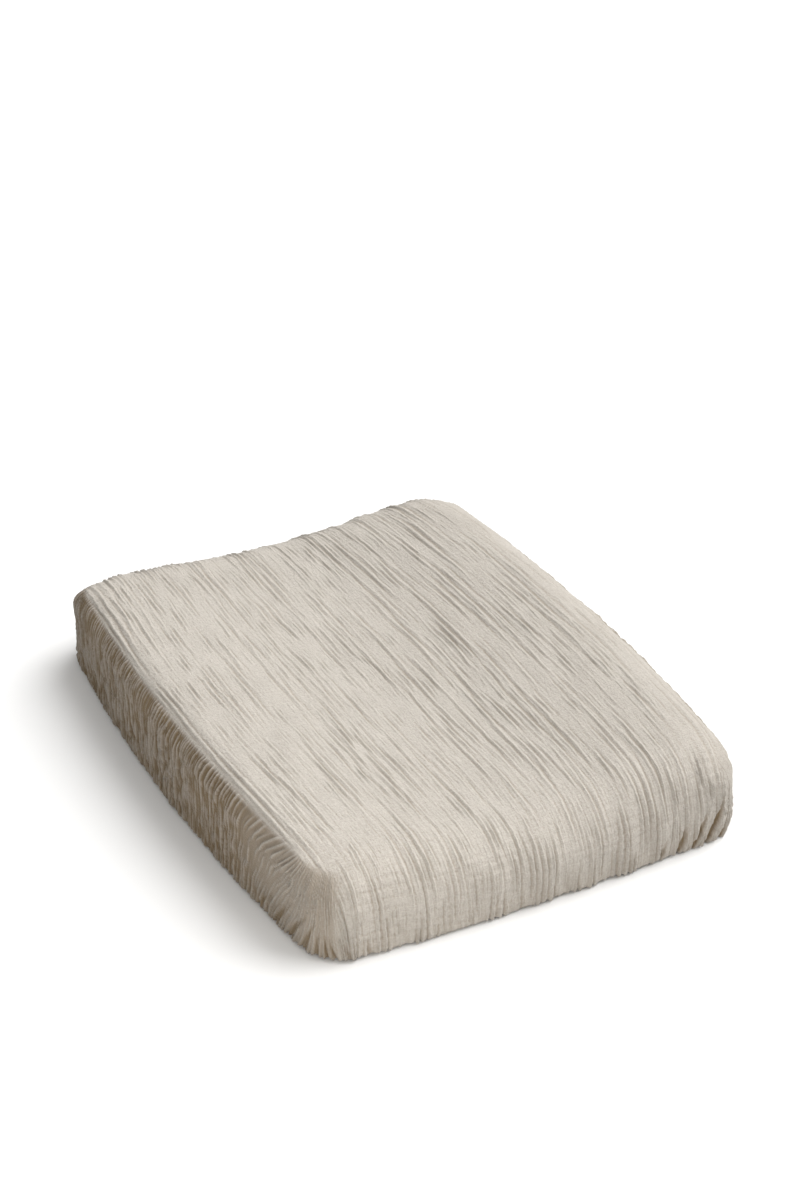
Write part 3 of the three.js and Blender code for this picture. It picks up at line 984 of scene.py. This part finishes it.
# stitches along the underside of the fold
st_p = solid(hem_o.low_ring(42.2, 0.62))
tan = np.roll(st_p, -1, 0) - st_p
tan /= np.linalg.norm(tan, axis=1)[:, None]
stitch_v, stitch_f, nxt, at = [], [], 0.0, len(hv)
for i in range(n_hem):
    if h_arc[i] >= nxt:
        nxt += 3.4
        side_dir = np.array([-tan[i, 1], tan[i, 0], 0.0])
        stitch_v.append(box_mesh(st_p[i], tan[i], side_dir, np.array([0, 0, -1.0]), (2.5, 0.5, 0.34)))
        stitch_f.append(BOX_FACES + at)
        at += 8
n_st = sum(len(a) for a in stitch_v)
all_v = np.concatenate([hv] + stitch_v)
hem_uv = np.concatenate([huv * [1.0, 0.06], np.full((n_st, 2), 0.98)])
hem = make("hem", all_v, [hf, np.concatenate(stitch_f)], uv=hem_uv, attrs={"painted_crease_shade": np.concatenate([hem_painted_shade, np.full(n_st, 0.0)])})
hem.data.materials.append(muslin("muslin_hem", *CLOTH_TONES_AND_SHADE))
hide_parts("hem_channel")
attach(hem, "cover")

# --- elastic in the channel: ribbed, and puckered where it has drawn in
el_o = Outline(300, 400, 1)
e_arc, _ = ring_arcs(el_o, 48.5)
pucker = 0.16 * np.sin(2 * np.pi * e_arc / 5.2) + 0.08 * np.sin(2 * np.pi * e_arc / 3.1 + 1.0)
profile = []
for k in range(9):
    profile.append((44.7 + 7.6 * k / 8, 2.12 + 0.07 * (k % 2) + pucker))
for k in range(9):
    profile.append((52.3 - 7.6 * k / 8, 2.78 - 0.07 * (k % 2) + pucker))
ev, ef, euv = band(el_o, [(a, b) for a, b in profile])
elastic = make("elastic", ev, ef, uv=euv)
elastic.data.materials.append(elastic_material("elastic"))
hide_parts("hem_elastic")
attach(elastic, "cover")

# --- blank care label, sewn down along one short edge, its free end lifting
lx, ly = np.meshgrid(np.linspace(-17, 17, 35), np.linspace(-10, 10, 21), indexing="ij")
lift = smooth(lx, -15.0, 17.0)
lz = 2.05 + 0.9 * lift**1.5 + 0.18 * np.sin(lx * 0.35 + 0.6) * lift + 0.10 * np.cos(ly * 0.4) * lift
top = np.column_stack([lx.ravel() + 70.0, ly.ravel() + 299.0, lz.ravel() + 0.14])
bot = np.column_stack([lx.ravel() + 70.0, ly.ravel() + 299.0, lz.ravel() - 0.14])
li = np.arange(35 * 21).reshape(35, 21)
q_top = np.stack([li[:-1, :-1].ravel(), li[1:, :-1].ravel(), li[1:, 1:].ravel(), li[:-1, 1:].ravel()], 1)
q_bot = q_top[:, ::-1] + 35 * 21
rim = np.concatenate([li[:, 0], li[-1, 1:], li[-2::-1, -1], li[0, -2:0:-1]])
q_rim = np.stack([rim, rim + 35 * 21, np.roll(rim, -1) + 35 * 21, np.roll(rim, -1)], 1)
lab_v, lab_f, at = [top, bot], [q_top, q_bot, q_rim], 2 * 35 * 21
for row in (-15.6, -14.4):
    for yy in np.arange(-8.6, 9.0, 2.2):
        lab_v.append(box_mesh((70 + row, 299 + yy, 2.22), np.array([0, 1.0, 0]), np.array([1.0, 0, 0]), np.array([0, 0, 1.0]), (1.6, 0.4, 0.3)))
        lab_f.append(BOX_FACES + at)
        at += 8
lab_v = np.concatenate(lab_v)
label = make("label", lab_v, [np.concatenate(lab_f)], uv=flat_uv(lab_v))
label.data.materials.append(label_material("label"))
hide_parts("care_label")
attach(label, "cover")

# ------------------------------------------------------------ floor and light
floor = make(
    "floor",
    np.array([[-6000, -6000, 0], [6000, -6000, 0], [6000, 6000, 0], [-6000, 6000, 0]], float),
    np.array([[0, 1, 2, 3]]),
)
fm, fnt, fb = material("floor_pale")
fb.inputs["Base Color"].default_value = (0.79, 0.79, 0.787, 1)
fb.inputs["Roughness"].default_value = 0.9
fb.inputs["Specular IOR Level"].default_value = 0.1
floor.data.materials.append(fm)

scene = bpy.context.scene
world = bpy.data.worlds.new("studio")
scene.world = world
world.use_nodes = True
bg = world.node_tree.nodes["Background"]
bg.inputs[0].default_value = (1.0, 0.985, 0.955, 1)
bg.inputs[1].default_value = 0.19
# the backdrop beyond the floor is seen as pale as the floor
seen = world.node_tree.nodes.new("ShaderNodeBackground")
seen.inputs[0].default_value = (1.0, 1.0, 1.0, 1)
seen.inputs[1].default_value = 1.0
rays = world.node_tree.nodes.new("ShaderNodeLightPath")
both = world.node_tree.nodes.new("ShaderNodeMixShader")
world.node_tree.links.new(rays.outputs["Is Camera Ray"], both.inputs[0])
world.node_tree.links.new(bg.outputs[0], both.inputs[1])
world.node_tree.links.new(seen.outputs[0], both.inputs[2])
world.node_tree.links.new(both.outputs[0], world.node_tree.nodes["World Output"].inputs[0])


def sun(name, azimuth, elevation, spread, strength, color=(1, 1, 1)):
    """A large, even soft light: azimuth from +X towards +Y, in degrees."""
    l = bpy.data.lights.new(name, "SUN")
    l.angle = math.radians(spread)
    l.energy = strength
    l.color = color
    ob = bpy.data.objects.new(name, l)
    scene.collection.objects.link(ob)
    a, e = math.radians(azimuth), math.radians(elevation)
    d = Vector((math.cos(a) * math.cos(e), math.sin(a) * math.cos(e), math.sin(e)))
    ob.location = d * 3
    ob.rotation_mode = "QUATERNION"
    ob.rotation_quaternion = d.to_track_quat("Z", "Y")
    return ob


sun("key", -2, 46, 66, 3.85)
sun("overhead", 0, 86, 90, 1.25)
sun("front_fill", -103, 34, 60, 0.34, (1.0, 0.98, 0.945))
card = bpy.data.lights.new("card", "AREA")
card.shape = "DISK"
card.size = 0.5
card.energy = 1.9
card.color = (1.0, 0.965, 0.915)
card_ob = bpy.data.objects.new("card", card)
scene.collection.objects.link(card_ob)
card_ob.location = (-0.54, -0.80, 0.28)
card_ob.rotation_mode = "QUATERNION"
card_ob.rotation_quaternion = Vector((-0.42, -0.60, 0.27)).to_track_quat("Z", "Y")

scene.view_settings.view_transform = "Standard"
scene.view_settings.look = "None"

# ------------------------------------------------------------ camera
az, el = math.radians(-27.8), math.radians(31.26)
back = Vector((math.sin(az) * math.cos(el), -math.cos(az) * math.cos(el), math.sin(el)))
right = Vector((math.cos(az), math.sin(az), 0))
up = back.cross(right)
cam_data = bpy.data.cameras.new("camera")
cam_data.lens = 2545.41 / 1200 * 36
cam_data.sensor_width = 36
cam_data.sensor_fit = "AUTO"
cam_data.clip_start, cam_data.clip_end = 0.05, 100
cam = bpy.data.objects.new("camera", cam_data)
scene.collection.objects.link(cam)
cam.location = (back * 2668.12 + right * 11.54 + up * 100.94 + Vector((0, 0, 50))) * MM
cam.rotation_mode = "QUATERNION"
cam.rotation_quaternion = (-back).to_track_quat("-Z", "Y")
scene.camera = cam
